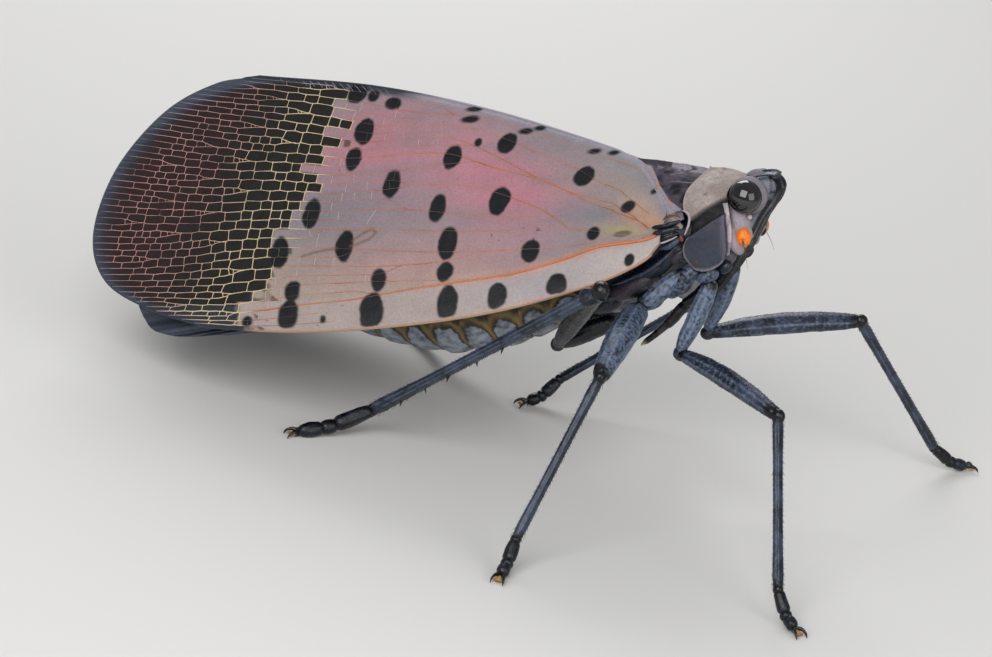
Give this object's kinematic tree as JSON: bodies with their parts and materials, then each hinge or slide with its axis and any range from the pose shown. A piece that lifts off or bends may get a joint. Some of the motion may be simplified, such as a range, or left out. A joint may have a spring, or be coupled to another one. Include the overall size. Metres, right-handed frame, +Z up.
{
  "type": "spotted lanternfly",
  "caption": "Still life-size adult spotted lanternfly standing on six legs, spotted wings folded like a roof, as a museum display model.",
  "frame": {"origin": "middle of the overall box's footprint, on the floor that the six feet stand on", "axes": "+X towards the head, +Y to the insect's left, +Z up"},
  "size_m": [0.0296, 0.0196, 0.0113],
  "materials": {
    "wing": "satin, grey-pink with black spots and a netted end",
    "hindwing": "matte, blue-black end",
    "leg": "satin black with a blue-grey waxy bloom",
    "body": "satin black with a blue-grey waxy bloom",
    "shield": "matte tan-grey",
    "abdomen": "satin yellow with black bands",
    "head": "satin dark grey with black keels",
    "eye": "glossy black",
    "antenna": "satin orange"
  },
  "bodies": {
    "root": {"head": "head", "pronotum": "shield", "tegula_right": "shield", "tegula_left": "shield", "mesonotum": "body", "thorax": "body", "eye_right": "eye", "eye_left": "eye", "antenna_right": "antenna", "antenna_left": "antenna", "rostrum": "leg", "abdomen_front": "abdomen", "abdomen_middle": "abdomen", "abdomen_tip": "abdomen", "tegmen_right": "wing", "tegmen_left": "wing", "hindwing_right": "hindwing", "hindwing_left": "hindwing", "coxa_front_right": "leg", "femur_front_right": "leg", "tibia_front_right": "leg", "tarsus_front_right": "leg", "coxa_front_left": "leg", "femur_front_left": "leg", "tibia_front_left": "leg", "tarsus_front_left": "leg", "coxa_mid_right": "leg", "femur_mid_right": "leg", "tibia_mid_right": "leg", "tarsus_mid_right": "leg", "coxa_mid_left": "leg", "femur_mid_left": "leg", "tibia_mid_left": "leg", "tarsus_mid_left": "leg", "coxa_hind_right": "leg", "femur_hind_right": "leg", "tibia_hind_right": "leg", "tarsus_hind_right": "leg", "coxa_hind_left": "leg", "femur_hind_left": "leg", "tibia_hind_left": "leg", "tarsus_hind_left": "leg"}
  },
  "joints": []
}
